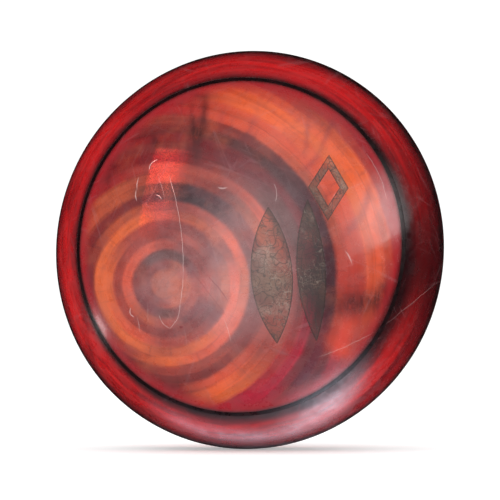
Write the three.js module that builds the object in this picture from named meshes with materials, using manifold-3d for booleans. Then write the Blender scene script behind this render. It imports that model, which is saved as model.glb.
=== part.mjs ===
// A turned hardwood lawn bowl of the loaded kind. Its round faces look along Y: the plain face with
// the owner's mark looks to -Y, the bias side with its small disc looks to +Y, and the bowl stands
// on its running surface. Millimetres, +Z up, origin under the middle of the bowl.
import * as THREE from "three";
import { mergeVertices } from "three/addons/utils/BufferGeometryUtils.js";
import Module from "manifold-3d";

const wasm = await Module();
wasm.setup();

// The bowl's outside
const MEAN_RADIUS = 63.5; // a 5 inch bowl
const OUT_OF_ROUND = 1.0315; // longest over shortest diameter of the running surface
const LONG_DIAMETER_ANGLE = THREE.MathUtils.degToRad(72); // from +X towards +Z
const HALF_WIDTH = 56.5; // equator to pole, before the bias side is faced flat
const SOLE_HALF_WIDTH = 8; // the level middle of the running surface, where the profile is flattened
const REAR_LAND_RADIUS = 16; // the flat faced on the bias side, around its disc
const FACETS = 48;

// The turned ring line on each side
const RING_RADIUS_SHARE = 0.815; // of the bowl's radius
const RING_WIDTH = 1.8;
const RING_DEPTH = 1.3;

// The stepped pocket of the bias side and what it holds
const DISC_RADIUS = 12.5;
const DISC_THICKNESS = 3;
const BORE_RADIUS = 8.3;
const PLUG_LENGTH = 12;
const WEIGHT_LENGTH = 10;
const PIN_CIRCLE_RADIUS = 10.2;
const PIN_RADIUS = 0.9;
const PIN_LENGTH = 11;
const PIN_POINT_LENGTH = 2;
const PIN_COUNT = 3;

// The owner's mark, let into the plain face
const MARK_DEPTH = 1.2;
const LEAVES = [
  { name: "mark_leaf_left", x: 11.8, z: -9.6, halfLength: 21, halfWidth: 6.4, lean: 3 },
  { name: "mark_leaf_right", x: 23.6, z: -8, halfLength: 22, halfWidth: 4.4, lean: 3 },
];
const LOZENGE = { name: "mark_lozenge", x: 28.6, z: 17.4, halfWidth: 6.2, halfHeight: 10.6, band: 2.6 };

const GAP = 0.3; // between neighbours that touch

// How finely curves are divided
const FACE_STEPS = 10;
const SHOULDER_STEPS = 4;
const REAR_FACE_STEPS = 7;
const ARC_STEPS = 14;
const DISC_SIDES = 48;
const BORE_SIDES = 32;
const PIN_SIDES = 12;

const CUT_PAST = 1; // how far a cut runs out past the surface it starts from

const FACET_ANGLE = (2 * Math.PI) / FACETS;
const LONG_STRETCH = Math.sqrt(OUT_OF_ROUND);
const SHRINKAGE = new THREE.Matrix4()
  .makeRotationY(-LONG_DIAMETER_ANGLE)
  .multiply(new THREE.Matrix4().makeScale(LONG_STRETCH, 1, 1 / LONG_STRETCH))
  .multiply(new THREE.Matrix4().makeRotationY(LONG_DIAMETER_ANGLE));
const REAR_LAND_Y = HALF_WIDTH * Math.sqrt(1 - (REAR_LAND_RADIUS / MEAN_RADIUS) ** 2);

const material = (colour, roughness, metalness = 0) =>
  new THREE.MeshStandardMaterial({ color: colour, roughness, metalness });
const VARNISHED_WOOD = material(0x8e2a22, 0.3);
const BLACK_WAX = material(0x140c0e, 0.45);
const OLIVE_COMPOSITION = material(0x6d5f4c, 0.4);
const LEAD = material(0x5d6066, 0.6, 1);
const BARE_WOOD = material(0x8a5a34, 0.7);
const IVORY = material(0xd9c9a0, 0.4);
const BRASS = material(0xb08d4a, 0.35, 1);

function solidOf(geometry) {
  const bare = geometry.clone();
  bare.deleteAttribute("normal");
  bare.deleteAttribute("uv");
  const merged = mergeVertices(bare, 1e-4);
  return new wasm.Manifold(
    new wasm.Mesh({
      numProp: 3,
      vertProperties: new Float32Array(merged.attributes.position.array),
      triVerts: new Uint32Array(merged.index.array),
    }),
  );
}

function geometryOf(solid) {
  const mesh = solid.getMesh();
  const geometry = new THREE.BufferGeometry();
  geometry.setAttribute("position", new THREE.BufferAttribute(mesh.vertProperties, 3));
  geometry.setIndex(new THREE.BufferAttribute(mesh.triVerts, 1));
  geometry.computeVertexNormals();
  return geometry;
}

// A point of the turned profile. The turn runs from 0 at the plain face's pole, over a right angle
// at the running surface, to half a turn at the bias side's pole.
const profilePoint = (turn) =>
  new THREE.Vector2(MEAN_RADIUS * Math.sin(turn), -HALF_WIDTH * Math.cos(turn));

const profileNormal = (turn) =>
  new THREE.Vector2(HALF_WIDTH * Math.sin(turn), -MEAN_RADIUS * Math.cos(turn)).normalize();

// Points along the profile between two turns, both ends included.
function sweep(from, to, steps) {
  return Array.from({ length: steps + 1 }, (_, i) => profilePoint(from + ((to - from) * i) / steps));
}

// The ring line's cross-section: where its walls meet the surface, and the same points sunk in it.
function ringSection(turn, width, depth) {
  const sunk = profileNormal(turn).multiplyScalar(-depth);
  const halfTurn = width / 2 / Math.hypot(MEAN_RADIUS * Math.cos(turn), HALF_WIDTH * Math.sin(turn));
  const near = profilePoint(turn - halfTurn);
  const far = profilePoint(turn + halfTurn);
  return { near, nearFloor: near.clone().add(sunk), farFloor: far.clone().add(sunk), far, halfTurn };
}

const FRONT_RING_TURN = Math.asin(RING_RADIUS_SHARE);
const REAR_RING_TURN = Math.PI - FRONT_RING_TURN;
const SOLE_TURN = Math.acos(SOLE_HALF_WIDTH / HALF_WIDTH);
const REAR_LAND_TURN = Math.PI - Math.asin(REAR_LAND_RADIUS / MEAN_RADIUS);

function grooveIn(ring) {
  return [ring.near, ring.nearFloor, ring.farFloor, ring.far];
}

// The outside of the bowl. Between each ring line and the sole, the last sweep point is dropped,
// because the level sole starts there with its own corner, a little proud of the round profile.
function bowlProfile() {
  const front = ringSection(FRONT_RING_TURN, RING_WIDTH, RING_DEPTH);
  const rear = ringSection(REAR_RING_TURN, RING_WIDTH, RING_DEPTH);
  return [
    new THREE.Vector2(0, -HALF_WIDTH),
    ...sweep(0, FRONT_RING_TURN - front.halfTurn, FACE_STEPS).slice(1, -1),
    ...grooveIn(front),
    ...sweep(FRONT_RING_TURN + front.halfTurn, SOLE_TURN, SHOULDER_STEPS).slice(1, -1),
    new THREE.Vector2(MEAN_RADIUS, -SOLE_HALF_WIDTH),
    new THREE.Vector2(MEAN_RADIUS, SOLE_HALF_WIDTH),
    ...sweep(Math.PI - SOLE_TURN, REAR_RING_TURN - rear.halfTurn, SHOULDER_STEPS).slice(1, -1),
    ...grooveIn(rear),
    ...sweep(REAR_RING_TURN + rear.halfTurn, REAR_LAND_TURN, REAR_FACE_STEPS).slice(1),
    new THREE.Vector2(0, REAR_LAND_Y),
  ];
}

// Turns a profile about Y, out of round as the bowl is. Its facets touch the true surface at their
// middles, and one of them lies level at the very bottom, where the bowl stands.
function turned(profile) {
  const lowest = new THREE.Vector3(0, 0, -1).applyMatrix4(SHRINKAGE);
  const start = Math.atan2(lowest.x, lowest.z) + FACET_ANGLE / 2;
  const cornerStretch = 1 / Math.cos(FACET_ANGLE / 2);
  const points = profile.map((p) => new THREE.Vector2(p.x * cornerStretch, p.y));
  return new THREE.LatheGeometry(points, FACETS, start).applyMatrix4(SHRINKAGE);
}

// A round bar along Y between two heights.
function roundBar(radius, fromY, toY, sides) {
  const bar = new THREE.CylinderGeometry(radius, radius, toY - fromY, sides);
  return bar.translate(0, (fromY + toY) / 2, 0);
}

// An outline drawn in X and Z, through the plain half of the bowl.
function throughFace(shape) {
  const through = { depth: HALF_WIDTH + CUT_PAST, bevelEnabled: false, curveSegments: ARC_STEPS };
  return new THREE.ExtrudeGeometry(shape, through).rotateX(Math.PI / 2);
}

// A pointed leaf: two arcs between its tips. All its sizes shrink by inset.
function leafPrism({ x, z, halfLength, halfWidth, lean }, inset) {
  const length = halfLength - 2 * inset;
  const width = halfWidth - inset;
  const radius = (length ** 2 + width ** 2) / (2 * width);
  const sweepAngle = Math.asin(length / radius);
  const shape = new THREE.Shape();
  shape.absarc(width - radius, 0, radius, -sweepAngle, sweepAngle, false);
  shape.absarc(radius - width, 0, radius, Math.PI - sweepAngle, Math.PI + sweepAngle, false);
  return throughFace(shape)
    .rotateY(THREE.MathUtils.degToRad(-lean))
    .translate(x, 0, z);
}

function rhombus(path, halfWidth, halfHeight) {
  path.moveTo(halfWidth, 0);
  path.lineTo(0, halfHeight);
  path.lineTo(-halfWidth, 0);
  path.lineTo(0, -halfHeight);
  path.closePath();
  return path;
}

// A lozenge drawn as a band. Its outer edge shrinks and its inner edge grows by inset.
function lozengePrism({ x, z, halfWidth, halfHeight, band }, inset) {
  const slope = halfHeight / halfWidth;
  const across = Math.hypot(1, slope) / slope;
  const outer = halfWidth - inset * across;
  const inner = halfWidth - (band - inset) * across;
  const shape = rhombus(new THREE.Shape(), outer, outer * slope);
  shape.holes.push(rhombus(new THREE.Path(), inner, inner * slope));
  return throughFace(shape).translate(x, 0, z);
}

const outside = solidOf(turned(bowlProfile()));

// The end of a prism that reaches no deeper than an even depth below the plain face.
const endOf = (prism, depth) => solidOf(prism).subtract(outside.translate([0, depth, 0]));

const pinPlaces = Array.from({ length: PIN_COUNT }, (_, i) => {
  const angle = Math.PI / 2 + (2 * Math.PI * i) / PIN_COUNT;
  return new THREE.Vector2(PIN_CIRCLE_RADIUS * Math.cos(angle), PIN_CIRCLE_RADIUS * Math.sin(angle));
});

function withoutPinHoles(solid) {
  return pinPlaces.reduce((left, place) => {
    const deep = REAR_LAND_Y - PIN_LENGTH - GAP;
    const hole = roundBar(PIN_RADIUS + GAP, deep, REAR_LAND_Y + CUT_PAST, PIN_SIDES);
    return left.subtract(solidOf(hole.translate(place.x, 0, place.y)));
  }, solid);
}

const MARKS = [
  ...LEAVES.map((leaf) => ({ name: leaf.name, prism: (inset) => leafPrism(leaf, inset) })),
  { name: LOZENGE.name, prism: (inset) => lozengePrism(LOZENGE, inset) },
];

// The bore's floor, from the bias side inwards: disc, plug and weight with a gap under each.
const DISC_FLOOR_Y = REAR_LAND_Y - DISC_THICKNESS - GAP;
const PLUG_FLOOR_Y = DISC_FLOOR_Y - PLUG_LENGTH;
const BORE_FLOOR_Y = PLUG_FLOOR_Y - GAP - WEIGHT_LENGTH - GAP;

function bowlBody() {
  let body = outside
    .subtract(solidOf(roundBar(DISC_RADIUS + GAP, DISC_FLOOR_Y, REAR_LAND_Y + CUT_PAST, DISC_SIDES)))
    .subtract(solidOf(roundBar(BORE_RADIUS, BORE_FLOOR_Y, REAR_LAND_Y, BORE_SIDES)));
  body = withoutPinHoles(body);
  for (const mark of MARKS) {
    body = body.subtract(endOf(mark.prism(0), MARK_DEPTH));
  }
  return geometryOf(body);
}

function biasSideDisc() {
  const disc = solidOf(roundBar(DISC_RADIUS, REAR_LAND_Y - DISC_THICKNESS, REAR_LAND_Y, DISC_SIDES));
  return geometryOf(withoutPinHoles(disc));
}

// The wax line that fills a ring groove, level with the wood beside it.
function ringFill(turn) {
  const ring = ringSection(turn, RING_WIDTH - 2 * GAP, RING_DEPTH - GAP);
  const crown = profilePoint(turn);
  return turned([ring.near, crown, ring.far, ring.farFloor, ring.nearFloor, ring.near]);
}

// A headless pin, pointed inside and filed level with the disc outside.
function discPin() {
  const profile = [
    new THREE.Vector2(0, REAR_LAND_Y - PIN_LENGTH),
    new THREE.Vector2(PIN_RADIUS, REAR_LAND_Y - PIN_LENGTH + PIN_POINT_LENGTH),
    new THREE.Vector2(PIN_RADIUS, REAR_LAND_Y),
    new THREE.Vector2(0, REAR_LAND_Y),
  ];
  return new THREE.LatheGeometry(profile, PIN_SIDES);
}

const bowl = new THREE.Group();

function add(name, geometry, surface, place) {
  const mesh = new THREE.Mesh(geometry, surface);
  mesh.name = name;
  if (place) {
    mesh.position.set(place.x, 0, place.y);
  }
  bowl.add(mesh);
}

add("bowl_body", bowlBody(), VARNISHED_WOOD);
add("front_ring_fill", ringFill(FRONT_RING_TURN), BLACK_WAX);
add("rear_ring_fill", ringFill(REAR_RING_TURN), BLACK_WAX);
for (const mark of MARKS) {
  const inlay = endOf(mark.prism(GAP), MARK_DEPTH - GAP).intersect(outside);
  add(mark.name, geometryOf(inlay), OLIVE_COMPOSITION);
}
const slug = (fromY, toY) => roundBar(BORE_RADIUS - GAP, fromY, toY, BORE_SIDES);
add("bias_weight", slug(BORE_FLOOR_Y + GAP, PLUG_FLOOR_Y - GAP), LEAD);
add("weight_plug", slug(PLUG_FLOOR_Y, DISC_FLOOR_Y), BARE_WOOD);
add("bias_side_disc", biasSideDisc(), IVORY);
pinPlaces.forEach((place, i) => add(`disc_pin_${i + 1}`, discPin(), BRASS, place));

// The bowl's middle stands over the origin, halfway between its two faces.
const size = new THREE.Box3().setFromObject(bowl);
bowl.position.set(0, -(size.min.y + size.max.y) / 2, -size.min.z);

const group = new THREE.Group();
group.add(bowl);
export default group;
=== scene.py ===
from math import asin, cos, exp, hypot, pi, radians, sin, sqrt, tan

import bmesh
import bpy
import numpy as np
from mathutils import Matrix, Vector

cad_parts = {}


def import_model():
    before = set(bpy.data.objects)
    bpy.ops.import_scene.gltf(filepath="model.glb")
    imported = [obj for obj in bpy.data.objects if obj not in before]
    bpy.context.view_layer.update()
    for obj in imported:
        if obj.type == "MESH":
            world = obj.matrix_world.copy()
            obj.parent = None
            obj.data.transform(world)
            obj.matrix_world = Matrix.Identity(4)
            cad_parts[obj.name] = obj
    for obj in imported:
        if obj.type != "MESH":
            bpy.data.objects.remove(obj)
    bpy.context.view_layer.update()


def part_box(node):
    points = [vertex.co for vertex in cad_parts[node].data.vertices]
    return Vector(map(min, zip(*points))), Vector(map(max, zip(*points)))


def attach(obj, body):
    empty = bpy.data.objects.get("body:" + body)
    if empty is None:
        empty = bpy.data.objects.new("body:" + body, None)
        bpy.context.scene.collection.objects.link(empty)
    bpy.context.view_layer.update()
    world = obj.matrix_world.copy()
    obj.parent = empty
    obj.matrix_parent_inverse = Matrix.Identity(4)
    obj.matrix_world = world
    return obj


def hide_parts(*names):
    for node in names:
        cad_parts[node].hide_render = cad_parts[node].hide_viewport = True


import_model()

# A wooden lawn bowl. Its points are in millimetres from its middle until new_mesh and move_to put them
# in the frame's metres.
MM = 0.001
SHARP_ANGLE = radians(35)

# ---- The bowl's shape, in millimetres, as it is turned ----
MEAN_RADIUS = 63.5
OUT_OF_ROUND = 1.0315
LONG_DIAMETER_ANGLE = radians(72)
HALF_WIDTH = 56.5
MEAN_PROFILE_RADIUS = (MEAN_RADIUS + HALF_WIDTH) / 2
SOLE_HALF_WIDTH = 8.0
SOLE_FULLNESS = 0.15
RING_RADIUS_SHARE = 0.815
RING_WIDTH = 1.9
RING_DEPTH = 1.3
REAR_LAND_RADIUS = 16.0
DISC_RECESS_RADIUS = 12.62
DISC_RECESS_DEPTH = 3.2
BORE_RADIUS = 8.1
BORE_DEPTH = 25.9
DISC_RADIUS = 12.5
DISC_THICKNESS = 3.0
SLUG_RADIUS = 8.0
PIN_CIRCLE_RADIUS = 10.2
PIN_RADIUS = 0.9
PIN_HOLE_RADIUS = PIN_RADIUS + 0.06
PIN_LENGTH = 11.0
PIN_ANGLES = [radians(angle) for angle in (90, 210, 330)]

# ---- Where the bowl stands: its own millimetres are counted from its middle ----
BODY_LOW, BODY_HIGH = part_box("bowl_body")
MIDDLE = Vector((0, BODY_LOW.y + HALF_WIDTH * MM, (BODY_LOW.z + BODY_HIGH.z) / 2))
DISC_LOW, DISC_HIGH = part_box("bias_side_disc")
DISC_MIDDLE = (DISC_LOW + DISC_HIGH) / 2
DISC_FACE = (DISC_HIGH.y - MIDDLE.y) / MM

# ---- The grain: a pith line that leans a little off the bowl's axis, with rings round it ----
GRAIN_LEAN = radians(5.4)
GRAIN_RISE = radians(2.0)
PITH = (-25.8, -10.4)

# ---- Turns: places along the profile, as the angle from the plain side's pole ----
FRONT_RING_TURN = asin(RING_RADIUS_SHARE)
REAR_RING_TURN = pi - FRONT_RING_TURN
REAR_LAND_TURN = pi - asin(REAR_LAND_RADIUS / MEAN_RADIUS)
REAR_LAND = -HALF_WIDTH * cos(REAR_LAND_TURN)
TRACK_TURN = radians(77)


# ---- Shape helpers ----
def smooth(low, high, value):
    """0 up to low, 1 from high on, and an eased slope between them."""
    share = np.clip((value - low) / (high - low), 0, 1)
    return share * share * (3 - 2 * share)


def shrinkage():
    """The 2 by 2 map that makes a round section out of round."""
    cosine, sine = cos(LONG_DIAMETER_ANGLE), sin(LONG_DIAMETER_ANGLE)
    turn = np.array([[cosine, -sine], [sine, cosine]])
    stretch = sqrt(OUT_OF_ROUND)
    return turn @ np.diag([stretch, 1 / stretch]) @ turn.T


SHRINK = shrinkage()
UNSHRINK = np.linalg.inv(SHRINK)


def revolve(radius, axial, around):
    """Points in the bowl's millimetres: radius and axial place of the profile, turned to each angle."""
    across = SHRINK @ np.array([np.cos(around), np.sin(around)])
    return np.stack([radius * across[0], axial + 0 * around, radius * across[1]], -1)


def face_point(x, z, lift):
    """The point of the plain face at x and z across it, raised by lift along its normal."""
    share = np.tensordot(UNSHRINK, np.stack([x, z]), 1) / MEAN_RADIUS
    depth = np.sqrt(np.clip(1 - (share ** 2).sum(0), 0, 1))
    normal = np.stack([x / MEAN_RADIUS ** 2, -depth / HALF_WIDTH, z / MEAN_RADIUS ** 2], -1)
    normal /= np.linalg.norm(normal, axis=-1, keepdims=True)
    return np.stack([x, -HALF_WIDTH * depth, z], -1) + np.asarray(lift)[..., None] * normal


def profile_point(turn, sunk, proud=0.0):
    """Radius and axial place of the profile at a turn, sunk along its normal and proud along its radius."""
    normal = np.array([HALF_WIDTH * sin(turn), -MEAN_RADIUS * cos(turn)])
    normal /= np.linalg.norm(normal)
    radius = MEAN_RADIUS * sin(turn) + proud - sunk * normal[0]
    return radius, -HALF_WIDTH * cos(turn) - sunk * normal[1]


def across_ring(turn, share):
    """The turn of a place across a ring line, as a share of the line's half width from its middle."""
    stretch = hypot(MEAN_RADIUS * cos(turn), HALF_WIDTH * sin(turn))
    return turn + share * RING_WIDTH / 2 / stretch


def mirrored(half, middle):
    """A section given from its left end to its middle, completed on the right."""
    return half + [middle] + [(-across, depth) for across, depth in reversed(half)]


def add_object(name, data):
    thing = bpy.data.objects.new(name, data)
    bpy.context.scene.collection.objects.link(thing)
    return thing


def new_mesh(name, points, faces):
    """A smooth-shaded mesh object from points in the bowl's millimetres."""
    mesh = bpy.data.meshes.new(name)
    place = np.asarray(points) * MM + np.array(MIDDLE)
    mesh.from_pydata(place.tolist(), [], faces)
    mesh.validate()
    mesh.update()
    mesh.shade_smooth()
    return add_object(name, mesh)


def points_of(piece):
    """A piece's points in the bowl's millimetres."""
    return (np.array([vertex.co for vertex in piece.data.vertices]) - np.array(MIDDLE)) / MM


def unshrunk(points):
    """The x and z of points, in two rows, as they would be in a bowl that is truly round."""
    return UNSHRINK @ points[:, [0, 2]].T


def surface_of(piece):
    """A piece's points, which way is out at each, and each one's share of the way to the bowl's surface."""
    points = points_of(piece)
    out = points / np.array([MEAN_RADIUS, HALF_WIDTH, MEAN_RADIUS]) ** 2
    out /= np.linalg.norm(out, axis=1, keepdims=True)
    across = (unshrunk(points) ** 2).sum(0) / MEAN_RADIUS ** 2
    return points, out, np.sqrt(across + (points[:, 1] / HALF_WIDTH) ** 2)


def move_to(piece, points):
    """Gives a piece new points, in the bowl's millimetres."""
    place = points * MM + np.array(MIDDLE)
    piece.data.vertices.foreach_set("co", place.astype(np.float32).ravel())
    piece.data.update()


def lathe(name, profile, count, round_section=False):
    """A closed turned piece. The profile runs from the plain side to the bias side, on the axis at both
    ends, or closes on itself. It is out of round as the bowl is, unless round_section is true."""
    profile = np.asarray(profile, float)
    closed = profile[0, 0] > 0
    around = np.arange(count) * 2 * pi / count
    rows = profile if closed else profile[1:-1]
    points = np.concatenate([revolve(radius, axial, around) for radius, axial in rows])
    if round_section:
        points[:, [0, 2]] = points[:, [0, 2]] @ UNSHRINK.T
    faces = []
    last = len(rows)
    for row in range(last if closed else last - 1):
        here, there = row * count, (row + 1) % last * count
        for i in range(count):
            j = (i + 1) % count
            faces.append((here + i, there + i, there + j, here + j))
    if not closed:
        points = np.vstack([points, [0, profile[0, 1], 0], [0, profile[-1, 1], 0]])
        first, end, top = last * count, last * count + 1, (last - 1) * count
        faces += [(first, i, (i + 1) % count) for i in range(count)]
        faces += [(end, top + (i + 1) % count, top + i) for i in range(count)]
    return new_mesh(name, points, faces)


# ---- Wear: what play has done to the surface ----
KNOCK_COUNT = 46
KNOCK_SPREAD = 11


def wobble(points, scale, seed):
    """Smooth, repeatable unevenness between about -1 and 1."""
    rng = np.random.default_rng(seed)
    total = np.zeros(len(points))
    for _ in range(9):
        direction = rng.normal(size=3)
        direction /= np.linalg.norm(direction)
        phase = points @ direction * (2 * pi / scale) * rng.uniform(0.6, 1.4) + rng.uniform(0, 6.283)
        total += np.sin(phase)
    return total / 4


def wear(points):
    """How far play has taken the surface down, in millimetres: a slow unevenness all over, and knocks
    along the running surface."""
    sunk = 0.03 + 0.03 * wobble(points, 34, 3)
    rng = np.random.default_rng(11)
    for _ in range(KNOCK_COUNT):
        around = rng.uniform(0, 2 * pi)
        axial = rng.normal() * KNOCK_SPREAD
        radius = MEAN_RADIUS * sqrt(max(0.05, 1 - (axial / HALF_WIDTH) ** 2))
        at = revolve(radius, axial, np.array([around]))[0]
        size, depth = rng.uniform(0.9, 3.2), rng.uniform(0.06, 0.34)
        distance = np.linalg.norm((points - at) / np.array([1, 0.7, 1]), axis=1)
        sunk = sunk + depth * np.exp(-((distance / size) ** 2))
    return np.clip(sunk, 0, None)


def wear_down(piece):
    """Moves a piece's points in by the wear of the surface over them."""
    points, out, _ = surface_of(piece)
    move_to(piece, points - out * wear(points)[:, None])


# ---- What every varnished piece carries: its place in the grain and on the bowl ----
# Growth rings as they lie round the pith. Each row looks in one direction, in degrees from +X towards +Z,
# and has one letter of TONES for every RING_STEP millimetres from the pith.
RING_STEP = 3.0
RINGS = {
    0: "abbrerbcbuuussupnpeeeccevvvv",
    30: "abrwsswscssbcuuwppbccoffewvv",
    60: "aaausrsbrnpsrswwusccffcvvvvv",
    90: "aasurssrsnnrrmsmsrkvvkkvvvvv",
    120: "aasucrrobsbbvmmvkkkvvvvvvvvv",
    180: "aasscroowmkkvvvvvvvvvvvvvvvv",
    240: "aaswbrcoruukkvvvvvvvvvvvvvvv",
    270: "aarursrborswwkkvvvvvvvvvvvvv",
    300: "abbswsrocrscfozzzyzzvvvvvvvv",
    330: "abbrwwwccssrrrkzwywzwwyyvvvv",
}
RING_COUNT = len(RINGS[0])

# Stains in the plain face's grain, in millimetres from the pith
SOOT = [
    ((9.4, 46.2), (2.3, 3.4), 0, 0.8),
    ((9, 40), (2.4, 4.2), 0, 0.4),
    ((11.7, 52.6), (1.3, 5.6), -4, 0.6),
    ((7.9, 51.4), (0.8, 4.6), 3, 0.4),
    ((9.6, 58.6), (3.8, 1.1), -10, 0.5),
    ((-3.6, 44.2), (1.2, 2.3), 10, 0.5),
    ((-8.5, 45.6), (4.6, 0.8), 14, 0.3),
    ((-17.6, 37), (1.9, 1), -15, 0.45),
    ((-18.4, 32.5), (0.8, 2.8), 0, 0.3),
    # The next two blots darken the face's right side beside the ring line
    ((59.6, -6), (10, 4), 5, 0.7),
    ((67, -4), (3, 6.5), -12, 0.7),
    ((38.5, 64.4), (4.6, 1.1), -12, 0.4),
    ((22, 25), (9, 2.4), -42, 0.35),
    ((33, 36), (9, 2.6), -42, 0.35),
    ((46.8, -29.6), (7, 1.9), 38, 0.6),
    ((47.6, -40), (1.3, 4), -14, 0.7),
    ((41.8, -41.2), (1, 3.2), -34, 0.5),
]
EMBER = [
    ((55.6, -14.6), (3.6, 5.4), -14, 0.7),
    ((54, -20.4), (5.4, 3), -42, 0.8),
    ((34, 58.5), (16, 2.6), -12, 0.25),
]
PLUM = [
    ((43.4, 46.4), (0.9, 6), -5, 0.4),
    ((49.2, 45), (0.9, 6.4), -26, 0.45),
    ((44.6, 37), (1, 4.4), -48, 0.4),
    ((61.8, 26), (1.3, 6), -14, 0.5),
    ((57.5, 18), (1.5, 5.4), -38, 0.45),
    ((26, 47.5), (1.3, 5), -24, 0.3),
    ((17, 51), (1, 3), -10, 0.2),
]
# Whitish haze on the plain face: partly bloom of old varnish, partly painted reflection of the light in
# front
BLOOM_AND_PAINTED_HAZE = [
    ((12, -2), (20, 22), 0, 0.75),
    ((26, 22), (26, 18), 20, 0.5),
    ((44, -22), (20, 12), 40, 0.2),
    ((0, 0), (10, 10), 0, 0.8),
]


def grain_place(points):
    """Across-the-grain coordinates, counted from the pith."""
    u = points[:, 0] * cos(GRAIN_LEAN) + points[:, 1] * sin(GRAIN_LEAN)
    v = points[:, 2] * cos(GRAIN_RISE) - points[:, 1] * sin(GRAIN_RISE)
    return u - PITH[0], v - PITH[1]


def mark_with(piece, **values):
    """Stores numbers on a piece's points, for its material to read by name."""
    for name, value in values.items():
        attribute = piece.data.attributes.new(name, "FLOAT", "POINT")
        attribute.data.foreach_set("value", np.asarray(value, np.float32).ravel())


def ring_turns(bearing):
    """How much each direction's rings, after the first, cover those before it."""
    directions = sorted(RINGS)
    bearing = np.degrees(bearing) % 360
    shares = []
    for i, middle in enumerate(directions):
        before = directions[i - 1] - (360 if i == 0 else 0)
        after = directions[(i + 1) % len(directions)] + (360 if i + 1 == len(directions) else 0)
        offset = bearing if i else np.where(bearing > 180, bearing - 360, bearing)
        shares.append(smooth(before, middle, offset) * (1 - smooth(middle, after, offset)))
    covered = shares[0]
    turns = {}
    for i, share in enumerate(shares[1:], 1):
        covered = covered + share
        turns[f"rings_{i}"] = np.where(covered > 1e-6, share / np.maximum(covered, 1e-6), 0)
    return turns


def blots(u, v, patches):
    """Soft oval patches on the end grain, each (middle, half sizes, lean in degrees, strength)."""
    value = np.zeros(len(u))
    for at, size, lean, strength in patches:
        cosine, sine = cos(radians(lean)), sin(radians(lean))
        along = ((u - at[0]) * cosine + (v - at[1]) * sine) / size[0]
        across = (-(u - at[0]) * sine + (v - at[1]) * cosine) / size[1]
        value = 1 - (1 - value) * (1 - strength * np.exp(-(along * along + across * across)))
    return value


def bump_round(around, middle, reach):
    """1 at one angle round the bowl, in degrees, falling smoothly to 0 at reach on both sides."""
    off = np.abs((around - middle + 180) % 360 - 180)
    return 1 - smooth(0, reach, off)


def ring_dirt(turn, around):
    """A dark band along the ring line, widest low on the right."""
    low_right, right = bump_round(around, -40, 120), bump_round(around, -24, 28)
    off = (turn - FRONT_RING_TURN) * MEAN_PROFILE_RADIUS
    outer, inner = 2.3 + 4.4 * low_right, 1.8 + 1.2 * right
    return np.exp(-np.abs(off / np.where(off > 0, outer, inner)) ** 3)


def describe_surface(piece):
    """Marks a piece's points with their place in the grain, on the bowl, in each kind of stain, in the
    painted shade of the red band and in the haze that is partly painted reflection.
    """
    points = points_of(piece)
    u, v = grain_place(points)
    x, z = unshrunk(points) / MEAN_RADIUS
    share = np.hypot(x, z)
    around = np.degrees(np.arctan2(z, x))
    front = points[:, 1] < 0
    turn = np.arctan2(share, -points[:, 1] / HALF_WIDTH)
    turn = np.where(turn > pi / 2, pi - turn, turn)
    bearing = np.arctan2(v, u)
    dirt = ring_dirt(turn, around)
    # Painted shade: how far the red band is darkened on the bowl's right side, most just below the middle
    shade = bump_round(around, -7, np.where(around > -7, 56, 38)) ** 0.8
    mark_with(
        piece,
        growth=np.hypot(u, v),
        ray_x=np.cos(bearing),
        ray_y=np.sin(bearing),
        turn=turn,
        sole_turn=turn - 0.1 * bump_round(around, -45, 80) * front,
        shadowed=shade * np.where(front, 1, 0.3),
        polished=bump_round(around, 2, 80) * smooth(0.35, 0.7, share) * front,
        ring_dirt=dirt,
        dull=dirt * bump_round(around, -90, 62),
        soot=blots(u, v, SOOT) * front,
        ember=blots(u, v, EMBER) * front,
        plum=blots(u, v, PLUM) * front,
        # bloom: whitish haze, partly bloom of old varnish, partly painted reflection
        bloom=blots(u, v, BLOOM_AND_PAINTED_HAZE) * np.where(front, 1, 0.5),
        **ring_turns(bearing),
    )


# ---- The body and its ring lines ----
AROUND_COUNT = 360
FIRST_ROW_TURN = 0.006
FINE_ROWS_END = radians(43)

# Sections across a ring line: (share of its half width, depth), from the plain side to its middle
GROOVE_HALF_SECTION = [(-1.6, 0), (-1.01, 0), (-0.97, 0.08), (-0.96, 1)]
WAX_HALF_SECTION = [(-0.95, 1.22), (-0.95, 0.03), (-0.5, 0.02)]


def arc(turn_from, turn_to, step):
    """Unsunk profile rows between two turns, evenly spaced at about step millimetres, without the last."""
    count = max(2, round(abs(turn_to - turn_from) * MEAN_PROFILE_RADIUS / step))
    return [(turn, 0) for turn in np.linspace(turn_from, turn_to, count, endpoint=False)]


def groove_rows(turn):
    """Profile rows across a ring groove with rounded lips: (turn, how far the row is sunk)."""
    section = mirrored(GROOVE_HALF_SECTION, (0, 1))
    return [(across_ring(turn, share), depth * RING_DEPTH) for share, depth in section]


def body_rows():
    """The whole profile as (turn, sunk) rows, from the plain pole to the edge of the bias side's land."""
    front, rear = groove_rows(FRONT_RING_TURN), groove_rows(REAR_RING_TURN)
    quarter = pi / 2
    return [
        *arc(FIRST_ROW_TURN, FINE_ROWS_END, 0.45),
        *arc(FINE_ROWS_END, front[0][0], 0.7),
        *front,
        *arc(front[-1][0], quarter, 0.75)[1:],
        *arc(quarter, rear[0][0], 0.9),
        *rear,
        *arc(rear[-1][0], REAR_LAND_TURN - 0.012, 1.1)[1:],
    ]


def fullness(axial):
    """How far the sole's flattened profile stands proud of the oval."""
    share = (axial / SOLE_HALF_WIDTH) ** 2
    return SOLE_FULLNESS * share * exp(1 - share)


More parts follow.
